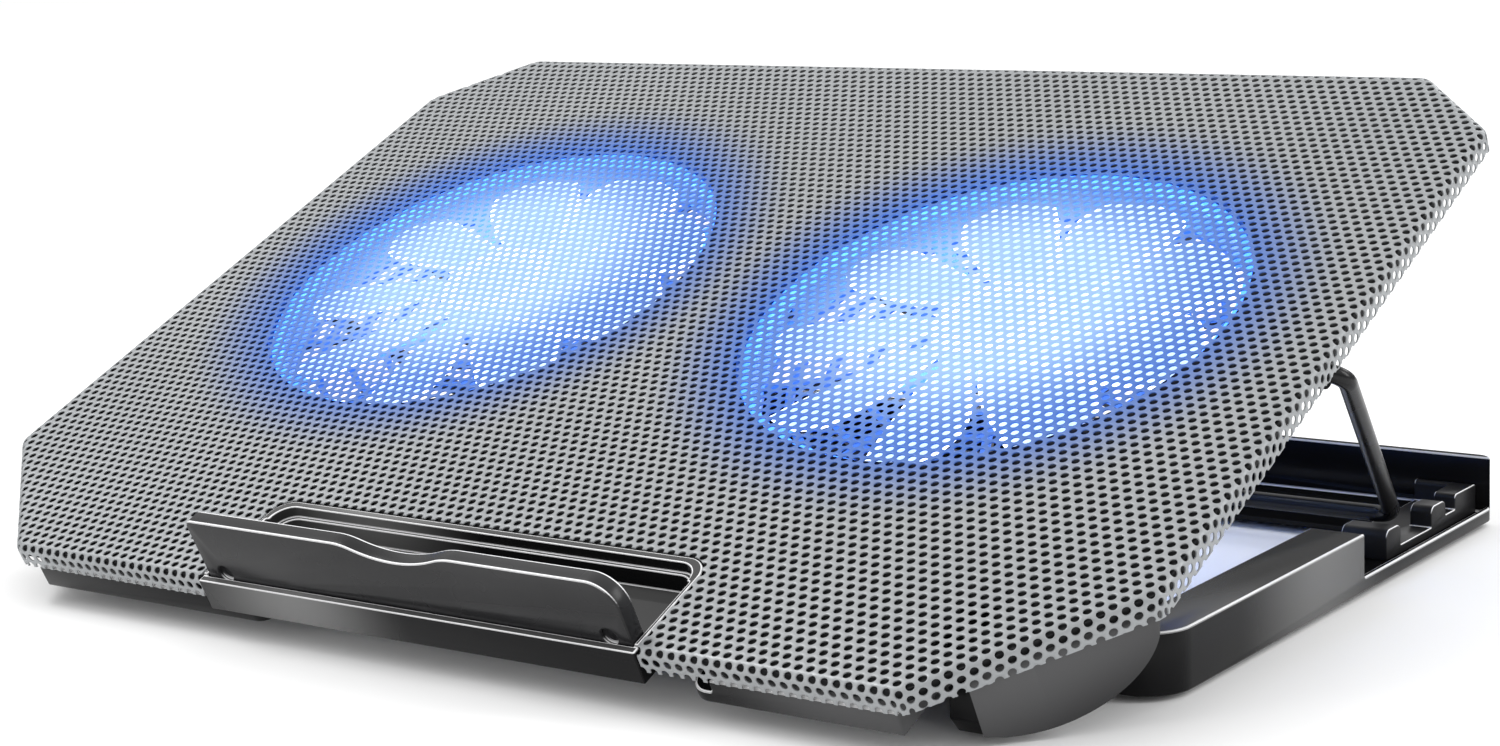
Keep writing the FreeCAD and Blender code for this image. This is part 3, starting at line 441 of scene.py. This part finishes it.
def octagon(inset):
    """The sheet's outline, moved in by inset, as corners in counter-clockwise order."""
    half = HALF - inset
    front = FRONT_CHAMFER - inset * (2 - math.sqrt(2))
    rear = REAR_CHAMFER - inset * (2 - math.sqrt(2))
    far = DEPTH - inset
    return np.array([
        (-half + front, inset), (half - front, inset), (half, inset + front), (half, far - rear),
        (half - rear, far), (-half + rear, far), (-half, far - rear), (-half, inset + front),
    ])


CORE = octagon(CORNER)
FLAT_EDGE = CORNER - FOLD_RADIUS
REACH = FOLD_RADIUS * math.pi / 2 + SKIRT - FOLD_RADIUS


def bend(points):
    """Points (u, v, depth) of the flat sheet, moved to their places on the folded sheet."""
    place, depth = points[:, :2], points[:, 2]
    nearest = np.zeros_like(place)
    best = np.full(len(place), np.inf)
    inside = np.ones(len(place), bool)
    for start, end in zip(CORE, np.roll(CORE, -1, axis=0)):
        run = end - start
        share = np.clip((place - start) @ run / (run @ run), 0, 1)
        foot = start + share[:, None] * run
        gap = np.linalg.norm(place - foot, axis=1)
        closer = gap < best
        nearest[closer], best[closer] = foot[closer], gap[closer]
        inside &= run[0] * (place[:, 1] - start[1]) - run[1] * (place[:, 0] - start[0]) > 0
    over = np.where(inside, -1.0, best - FLAT_EDGE)
    out = (place - nearest) / np.maximum(best, 1e-9)[:, None]
    angle = np.clip(over / FOLD_RADIUS, 0, math.pi / 2)
    straight = np.maximum(over - FOLD_RADIUS * math.pi / 2, 0)
    folded = over > 0
    reach = FLAT_EDGE + FOLD_RADIUS * np.sin(angle) - depth * np.sin(angle)
    plane = np.where(folded[:, None], nearest + out * reach[:, None], place)
    drop = FOLD_RADIUS * (1 - np.cos(angle)) + straight + depth * np.cos(angle)
    return np.column_stack([plane, -np.where(folded, drop, depth)])


def clip(polygon, px, py, nx, ny):
    """The part of a polygon of (u, v, depth) on the (nx, ny) side of the line through (px, py)."""
    kept = []
    for here, there in zip(polygon, polygon[1:] + polygon[:1]):
        a = (here[0] - px) * nx + (here[1] - py) * ny
        b = (there[0] - px) * nx + (there[1] - py) * ny
        if a >= 0:
            kept.append(here)
        if (a > 1e-9 and b < -1e-9) or (a < -1e-9 and b > 1e-9):
            share = a / (a - b)
            kept.append(tuple(h + (t - h) * share for h, t in zip(here, there)))
    return kept


def rim_lines():
    """The sheet's cut edge in the flat, as a point and an inward direction for each short stretch."""
    lines = []
    for before, corner, after in zip(np.roll(CORE, 1, axis=0), CORE, np.roll(CORE, -1, axis=0)):
        first, second = corner - before, after - corner
        turn0 = math.atan2(-first[0], first[1])
        turn1 = math.atan2(-second[0], second[1])
        sweep = (turn1 - turn0 + math.pi) % (2 * math.pi) - math.pi
        for k in range(CORNER_STEPS + 1):
            angle = turn0 + sweep * k / CORNER_STEPS
            way = np.array([math.cos(angle), math.sin(angle)])
            spot = corner + way * (FLAT_EDGE + REACH)
            lines.append((spot[0], spot[1], -way[0], -way[1]))
    return lines


RIM_LINES = rim_lines()


def without_notch(polygon):
    """A polygon of the flat sheet with the front notch taken out of it, as convex parts."""
    parts = [clip(polygon, 0, NOTCH_DEPTH, 0, 1)]
    below = clip(polygon, 0, NOTCH_DEPTH, 0, -1)
    inner = NOTCH_DEPTH - NOTCH_RADIUS
    for side in (-1, 1):
        if not below:
            continue
        parts.append(clip(below, side * NOTCH_HALF, 0, side, 0))
        corner = clip(below, side * NOTCH_HALF, 0, -side, 0)
        middle = side * (NOTCH_HALF - NOTCH_RADIUS)
        for k in range(NOTCH_STEPS):
            wedge = corner
            a0, a1 = (math.pi / 2 * step / NOTCH_STEPS for step in (k, k + 1))
            p0 = (math.cos(a0) * side, math.sin(a0))
            p1 = (math.cos(a1) * side, math.sin(a1))
            for px, py, sign in ((p0[0], p0[1], side), (p1[0], p1[1], -side)):
                wedge = clip(wedge, middle, inner, -py * sign, px * sign) if wedge else wedge
            if wedge:
                chord = (p0[0] + p1[0], p0[1] + p1[1])
                at = (middle + p0[0] * NOTCH_RADIUS, inner + p0[1] * NOTCH_RADIUS)
                wedge = clip(wedge, at[0], at[1], chord[0], chord[1])
            parts.append(wedge)
    return [part for part in parts if len(part) > 2]


def cell_rings():
    """The rings of one cell round (0, 0): its hexagon, the hole's rim, and the hole's wall, top and bottom."""
    rings = []
    apothem = PITCH / 2
    for k in range(SIDES):
        angle = 2 * math.pi * k / SIDES + math.pi / 6
        reach = apothem / math.cos(math.pi / 6) if k % 2 == 0 else apothem
        rings.append((reach * math.cos(angle), reach * math.sin(angle), 0.0))
    for radius, depth in ((HOLE + RIM, 0.0), (HOLE, RIM_DROP), (HOLE, THICK)):
        for k in range(SIDES):
            angle = 2 * math.pi * k / SIDES + math.pi / 6
            rings.append((radius * math.cos(angle), radius * math.sin(angle), depth))
    return np.array(rings)


def sheet_cells():
    """One cell's rings and faces, the places of the whole cells, and the faces of the cut ones."""
    rings = cell_rings()
    quads = []
    for level in range(3):
        for k in range(SIDES):
            here, after = level * SIDES + k, level * SIDES + (k + 1) % SIDES
            quads.append((here, after, after + SIDES, here + SIDES))
    quads = np.array(quads)
    whole, cut = [], []
    first = math.floor((-REACH - FIRST_ROW) / ROW)
    last = math.ceil((DEPTH + REACH - FIRST_ROW) / ROW)
    count = int((HALF + REACH) / PITCH) + 2
    for row in range(first, last + 1):
        v = FIRST_ROW + row * ROW
        band = min(BANDS - 1, max(0, int(v / DEPTH * BANDS)))
        for column in range(-count, count + 1):
            u = (column + 0.5 * (row % 2)) * PITCH
            margins = [(u - px) * nx + (v - py) * ny for px, py, nx, ny in RIM_LINES]
            if min(margins) < -PITCH:
                continue
            if abs(u) < NOTCH_HALF - NOTCH_RADIUS - PITCH and v < NOTCH_DEPTH - PITCH:
                continue
            near = [line for line, margin in zip(RIM_LINES, margins) if margin < PITCH]
            at_notch = abs(u) < NOTCH_HALF + PITCH and v < NOTCH_DEPTH + PITCH
            if not near and not at_notch:
                whole.append((u, v, band))
                continue
            points = rings + (u, v, 0)
            for quad in quads:
                polygon = [tuple(points[k]) for k in quad]
                for px, py, nx, ny in near:
                    polygon = clip(polygon, px, py, nx, ny) if polygon else polygon
                parts = without_notch(polygon) if polygon and at_notch else [polygon]
                cut += [(band, part) for part in parts if len(part) > 2]
    return rings, quads, np.array(whole), cut


def welded_faces():
    """The flat sheet's points, its faces as point numbers, and each face's band."""
    rings, quads, whole, cut = sheet_cells()
    offsets = np.column_stack([whole[:, :2], np.zeros(len(whole))])
    points = (offsets[:, None, :] + rings[None, :, :]).reshape(-1, 3)
    faces = (np.arange(len(whole))[:, None, None] * len(rings) + quads[None, :, :]).reshape(-1, 4)
    starts = np.cumsum([0] + [len(part) for _, part in cut]) + len(points)
    points = np.vstack([points, np.array([point for _, part in cut for point in part])])
    keys, index = np.unique(np.round(points * WELD).astype(np.int64), axis=0, return_inverse=True)
    index = index.reshape(-1)
    polygons = [tuple(face) for face in index[faces].tolist()]
    labels = np.repeat(whole[:, 2].astype(int), len(quads)).tolist()
    for (band, part), start in zip(cut, starts):
        corners = list(dict.fromkeys(index[start:start + len(part)].tolist()))
        if len(corners) > 2:
            polygons.append(tuple(corners))
            labels.append(band)
    return keys / WELD, polygons, labels


def add_cut_walls(points, polygons, labels):
    """Gives the sheet's cut edges their thickness, and returns the points with the new ones after them."""
    seen = {}
    for number, face in enumerate(polygons):
        for a, b in zip(face, face[1:] + face[:1]):
            key = (a, b) if a < b else (b, a)
            seen[key] = None if key in seen else (number, a, b)
    below, added = {}, []
    for number, a, b in filter(None, seen.values()):
        lowest = max(points[a][2], points[b][2])
        if lowest > THICK - 0.01 or np.hypot(*(points[a] - points[b])[:2]) < SLIVER:
            continue
        for k in (a, b):
            if k not in below:
                below[k] = len(points) + len(added)
                added.append((points[k][0], points[k][1], THICK))
        polygons.append((b, a, below[a], below[b]))
        labels.append(labels[number])
    return np.vstack([points, np.array(added)])


def perforated_sheet():
    """The sheet, in bands across it that each stay small enough to export whole."""
    points, polygons, labels = welded_faces()
    points = bend(add_cut_walls(points, polygons, labels)) * MM
    labels = np.array(labels)
    for band in range(BANDS):
        chosen = [polygons[k] for k in np.flatnonzero(labels == band)]
        used = sorted(set(k for face in chosen for k in face))
        renumber = {old: new for new, old in enumerate(used)}
        mesh = bpy.data.meshes.new(f"perforated_sheet_{band + 1}")
        mesh.from_pydata(points[used].tolist(), [], [[renumber[k] for k in face] for face in chosen])
        mesh.validate()
        finish_mesh(new_object(mesh.name, mesh, PANEL), "sheet", "panel", "mesh_cover", angle=46.0)


# The rotors

HUB_PROFILE = [  # radius and height, from the middle of the top round to the middle below
    (0.0, -4.5), (8.6, -4.5), (9.6, -4.7), (10.2, -5.2), (11.6, -5.2), (12.2, -4.6), (13.0, -4.1),
    (15.8, -4.0), (17.2, -4.3), (17.9, -5.1), (18.0, -6.2), (18.0, -13.2), (17.8, -13.6), (16.6, -13.6),
    (16.4, -13.2), (16.4, -5.9), (4.0, -5.9), (0.0, -5.9),
]
HUB_AROUND = 72
LEAD = [(17.4, -16.0), (28.0, -5.0), (40.0, 0.0), (52.0, 0.0), (60.0, -4.0), (64.2, -10.5)]
TRAIL = [(17.4, -50.0), (30.0, -42.0), (44.0, -34.0), (58.0, -29.0), (63.0, -27.2), (66.4, -26.0)]
BLADES = 9
STEPS = 20
CHORDS = 14
PITCH_TAN = math.tan(math.radians(11.0))
PITCH_TURN = 20.0  # degrees from a blade's angle to the line it is pitched about
BLADE_LEVEL = -8.8
BLADE_HALF = 0.62
CAMBER = 0.9
TIP_BULGE = 0.9
TIP_FROM = 0.6  # how far out along a blade its tip starts
WIDTH = 40.0  # a blade's rough width and length, by which the distance from its edge is told
LENGTH = 50.0
THIN_EDGE = 5.0
EDGE_FADE = 1.6


def smooth_path(points, count):
    """count points along a Catmull-Rom curve through the given pairs."""
    padded = [points[0]] + points + [points[-1]]
    path = []
    for k in range(count):
        t = k / (count - 1) * (len(points) - 1)
        i = min(int(t), len(points) - 2)
        t -= i
        p0, p1, p2, p3 = (np.array(padded[i + j], float) for j in range(4))
        path.append(0.5 * (2 * p1 + (p2 - p0) * t + (2 * p0 - 5 * p1 + 4 * p2 - p3) * t ** 2
                           + (3 * p1 - p0 - 3 * p2 + p3) * t ** 3))
    return path


def blade_point(i, j, lead, trail, turn, side):
    """A point of a blade's upper (side 1) or lower (side -1) face, and how much it belongs to the edge."""
    t, s = i / (STEPS - 1), j / (CHORDS - 1)
    arch = 4 * s * (1 - s)
    radius, angle = trail[i] + (lead[i] - trail[i]) * s
    radius += TIP_BULGE * max(0.0, t - TIP_FROM) / (1 - TIP_FROM) * arch
    lateral = -radius * math.sin(math.radians(angle + PITCH_TURN))
    height = BLADE_LEVEL - lateral * PITCH_TAN + CAMBER * (arch - 0.6)
    inside = min(min(s, 1 - s) * WIDTH, (1 - t) * LENGTH)
    half = BLADE_HALF * min(1.0, 0.25 + inside / THIN_EDGE)
    out = math.radians(angle + turn)
    point = (-radius * math.sin(out), radius * math.cos(out), height + side * half)
    return point, math.exp(-inside / EDGE_FADE)


def add_blade(number, lead, trail, verts, faces, edge):
    """Adds one blade: its upper and lower faces, and the wall between them."""
    for side in (1, -1):
        base = len(verts)
        for i in range(STEPS):
            for j in range(CHORDS):
                point, share = blade_point(i, j, lead, trail, 360.0 * number / BLADES, side)
                verts.append(point)
                edge.append(share)
        for i in range(STEPS - 1):
            for j in range(CHORDS - 1):
                a = base + i * CHORDS + j
                quad = (a, a + CHORDS, a + CHORDS + 1, a + 1)
                faces.append(quad if side > 0 else quad[::-1])
    top, under = len(verts) - 2 * STEPS * CHORDS, len(verts) - STEPS * CHORDS
    loop = list(range(CHORDS)) + [i * CHORDS + CHORDS - 1 for i in range(1, STEPS)]
    loop += [(STEPS - 1) * CHORDS + j for j in range(CHORDS - 2, -1, -1)]
    loop += [i * CHORDS for i in range(STEPS - 2, 0, -1)]
    for a, b in zip(loop, loop[1:] + loop[:1]):
        faces.append((top + a, top + b, under + b, under + a))


def add_hub(verts, faces, edge):
    """Adds the hub, turned from its profile."""
    base = len(verts)
    rings = HUB_PROFILE[1:-1]
    for radius, height in rings:
        for k in range(HUB_AROUND):
            turn = 2 * math.pi * k / HUB_AROUND
            verts.append((radius * math.cos(turn), radius * math.sin(turn), height))
            # The hub gets a share of the blades' painted edge highlight, strong on its top ring
            edge.append(0.75 if 12.0 <= radius <= 17.3 and height > -5 else 0.12)
    for ring in range(len(rings) - 1):
        a, b = base + ring * HUB_AROUND, base + (ring + 1) * HUB_AROUND
        for k in range(HUB_AROUND):
            after = (k + 1) % HUB_AROUND
            faces.append((a + k, b + k, b + after, a + after))
    last = base + (len(rings) - 1) * HUB_AROUND
    faces.append(tuple(range(base, base + HUB_AROUND)))
    faces.append(tuple(range(last + HUB_AROUND - 1, last - 1, -1)))


def rotor(side, name):
    """A lit rotor, its blades and hub as one mesh."""
    verts, faces, edge = [], [], []
    lead, trail = smooth_path(LEAD, STEPS), smooth_path(TRAIL, STEPS)
    for number in range(BLADES):
        add_blade(number, lead, trail, verts, faces, edge)
    add_hub(verts, faces, edge)
    body = "rotor_" + name
    mesh = bpy.data.meshes.new(body + "_lit")
    centre = Vector((side * FAN_X, FAN_Y, 0))
    mesh.from_pydata([(Vector(v) + centre) * MM for v in verts], [], faces)
    mesh.validate()
    # The edge share, which the blade material turns into painted highlights and glow
    attribute = mesh.attributes.new("edge", "FLOAT", "POINT")
    attribute.data.foreach_set("value", edge)
    finish_mesh(new_object(mesh.name, mesh, PANEL), "blades", body, body, angle=50.0)


# The bail: one rod, bent round tangent arcs

ROD = 2.5
FOOT_X = 168.0
EYE_INNER = 183.6
KNEE_X = 191.0
KNEE_BEND = 5.0
FOOT_BEND = 7.0
ARC_STEPS = 14


def bent_path(corners, bends):
    """The corners joined up, each inner one bent round its own radius in millimetres."""
    path = [corners[0]]
    for before, corner, after, radius in zip(corners, corners[1:], corners[2:], bends):
        back, ahead = (before - corner).normalized(), (after - corner).normalized()
        half = back.angle(ahead) / 2
        run = radius * MM / math.tan(half)
        centre = corner + (back + ahead).normalized() * (radius * MM / math.sin(half))
        start = corner + back * run - centre
        axis = start.cross(corner + ahead * run - centre)
        for k in range(ARC_STEPS + 1):
            path.append(centre + Matrix.Rotation((math.pi - 2 * half) * k / ARC_STEPS, 3, axis) @ start)
    return path + [corners[-1]]


def bail():
    """The rod through its two ears and along the crossbar, drawn at rest."""
    low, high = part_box("bail_rod")
    pivot_y, pivot_z = joints["bail_swing"]["pos_m"][1:]
    foot_y, foot_z = high.y - ROD * MM, low.z + ROD * MM
    right = [(EYE_INNER, pivot_y, pivot_z), (KNEE_X, pivot_y, pivot_z), (FOOT_X, foot_y, foot_z)]
    corners = [Vector((x * MM, y, z)) for x, y, z in right]
    corners += [Vector((-x * MM, y, z)) for x, y, z in reversed(right)]
    path = bent_path(corners, (KNEE_BEND, FOOT_BEND, FOOT_BEND, KNEE_BEND))
    curve = bpy.data.curves.new("bail_rod_bent", "CURVE")
    curve.dimensions = "3D"
    curve.bevel_depth = ROD * MM
    curve.bevel_resolution = 6
    curve.use_fill_caps = True
    spline = curve.splines.new("POLY")
    spline.points.add(len(path) - 1)
    for point, spot in zip(spline.points, path):
        point.co = (*spot, 1)
    curve.materials.append(M["rod"])
    rod = new_object("bail_rod_bent", curve)
    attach(rod, "bail")
    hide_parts("bail_rod")


# Stage: floor, lights, camera

SKY = 1.04
SKY_LOW = 0.22  # what glossy surfaces see near the horizon
SKY_RISE = (0.12, 0.62)  # how high a direction points where the glossy sky starts and ends rising
FLOOR_RADIUS = 40
FLOOR_DARK = (0.93, 0.93, 0.93, 1)
FLOOR_LIGHT = (0.95, 0.95, 0.95, 1)
LIGHTS = [  # name, place, aim, width, height, watts
    ("key", (-1.1, -0.5, 1.7), (0, 0, 0.05), 0.7, 0.5, 14.0),
    ("right", (1.4, 0.5, 0.8), (0.1, 0, 0.03), 0.4, 0.8, 7.0),
    ("front", (-0.7, -1.6, 0.5), (-0.05, -0.1, 0.03), 0.5, 0.4, 4.0),
    ("back", (0.2, 1.9, 1.2), (0, 0, 0.05), 1.6, 0.5, 10.0),
]
LENS = 68.28
SHIFT = -0.0731
EYE = Vector((0.49524, -0.50375, 0.19016))  # from the middle of the sheet's front fold
RIGHT = Vector((0.8236, 0.5659, -0.0382))
AHEAD = Vector((-0.5621, 0.8053, -0.1883))


def sky():
    """Even white light, but darker near the horizon in reflections, so that gloss has something to show."""
    world = bpy.data.worlds.new("soft_white")
    bpy.context.scene.world = world
    world.use_nodes = True
    graph = Graph(world.node_tree)
    background = world.node_tree.nodes["Background"]
    background.inputs["Color"].default_value = (1.0, 1.0, 1.0, 1)
    heading = graph.node("ShaderNodeTexCoord").outputs["Generated"]
    reflected = graph.span(graph.split(heading)["Z"], *SKY_RISE, SKY_LOW, SKY, smooth=True)
    glossy = graph.node("ShaderNodeLightPath").outputs["Is Glossy Ray"]
    strength = graph.node("ShaderNodeMix", {0: glossy, 2: SKY, 3: reflected}).outputs[0]
    graph.tree.links.new(strength, background.inputs["Strength"])


def stage():
    """The sky, a pale floor and four soft lights."""
    sky()
    bpy.ops.mesh.primitive_circle_add(vertices=96, radius=FLOOR_RADIUS, fill_type="NGON")
    floor = bpy.context.object
    floor.name = "floor"
    shader = Shader("pale_floor", Roughness=0.9, Specular_IOR_Level=0.0)
    shader.link(shader.mix(shader.noise(1.2, 2.0), FLOOR_DARK, FLOOR_LIGHT), "Base Color")
    floor.data.materials.append(shader.material)
    for name, spot, aim, width, height, watts in LIGHTS:
        data = bpy.data.lights.new(name, "AREA")
        data.shape = "RECTANGLE"
        data.size, data.size_y, data.energy = width, height, watts
        lamp = new_object(name, data)
        lamp.location = spot
        lamp.rotation_euler = (Vector(aim) - Vector(spot)).to_track_quat("-Z", "Y").to_euler()


def camera():
    """The camera that sees the part as the photograph shows it."""
    data = bpy.data.cameras.new("camera")
    data.sensor_width = 36.0
    data.lens = LENS
    data.shift_x = SHIFT
    data.clip_end = 100.0
    turned = Matrix((RIGHT, RIGHT.cross(AHEAD), -AHEAD)).transposed().to_4x4()
    bpy.context.scene.camera = new_object("camera", data, Matrix.Translation(FOLD + EYE) @ turned)


stage()
camera()
bpy.context.scene.view_settings.view_transform = "Standard"

perforated_sheet()
for side, name in ((-1, "left"), (1, "right")):
    rotor(side, name)
bail()

SOFTENED = [  # node, body, material, slot, width of the rounding in millimetres, and whether it is clamped
    ("baffle_plate", "stop", "stop", "stop_black", 0.65),
    ("baffle_tray", "panel", "tray", "gloss_black", 0.45),
    ("front_foot_left", "panel", "gloss", "gloss_black", 0.7, True),
    ("front_foot_right", "panel", "gloss", "gloss_black", 0.7, True),
    ("hinge_housing_left", "panel", "gloss", "gloss_black", 0.7, True),
    ("hinge_housing_right", "panel", "gloss", "gloss_black", 0.7, True),
    ("base_frame", "base", "base", "gloss_black", 0.6),
    ("rack_left", "base", "satin", "satin_black", 0.3),
    ("rack_right", "base", "satin", "satin_black", 0.3),
]
for row in SOFTENED:
    soften(*row)

CARRIED = {
    "satin": ["bottom_shell", "lead_channel", "service_cover", "switch_body", "switch_knob"],
    "leads": ["fan_leads"],
    "board": ["control_board"],
    "steel": ["cover_screws"],
}
SIDED = {
    "satin": ["bail_eye"],
    "walls": ["fan_well", "intake_grille"],
    "frame": ["fan_frame"],
    "steel": ["hinge_pin", "rotor_shaft"],
    "stop": ["baffle_pin"],
    "plated": ["usb_port"],
    "copper": ["stator"],
    "magnet": ["magnet_ring"],
    "lit": ["led_ring"],
    "rubber": ["foot_pad_front", "foot_pad_rear"],
}
for material, stems in SIDED.items():
    CARRIED.setdefault(material, []).extend(stem + end for stem in stems for end in ("_left", "_right"))
for material, names in CARRIED.items():
    for node in names:
        if not nodes[node].data.materials:
            nodes[node].data.materials.append(M[material])
        for slot in nodes[node].material_slots:
            slot.material = M[material]
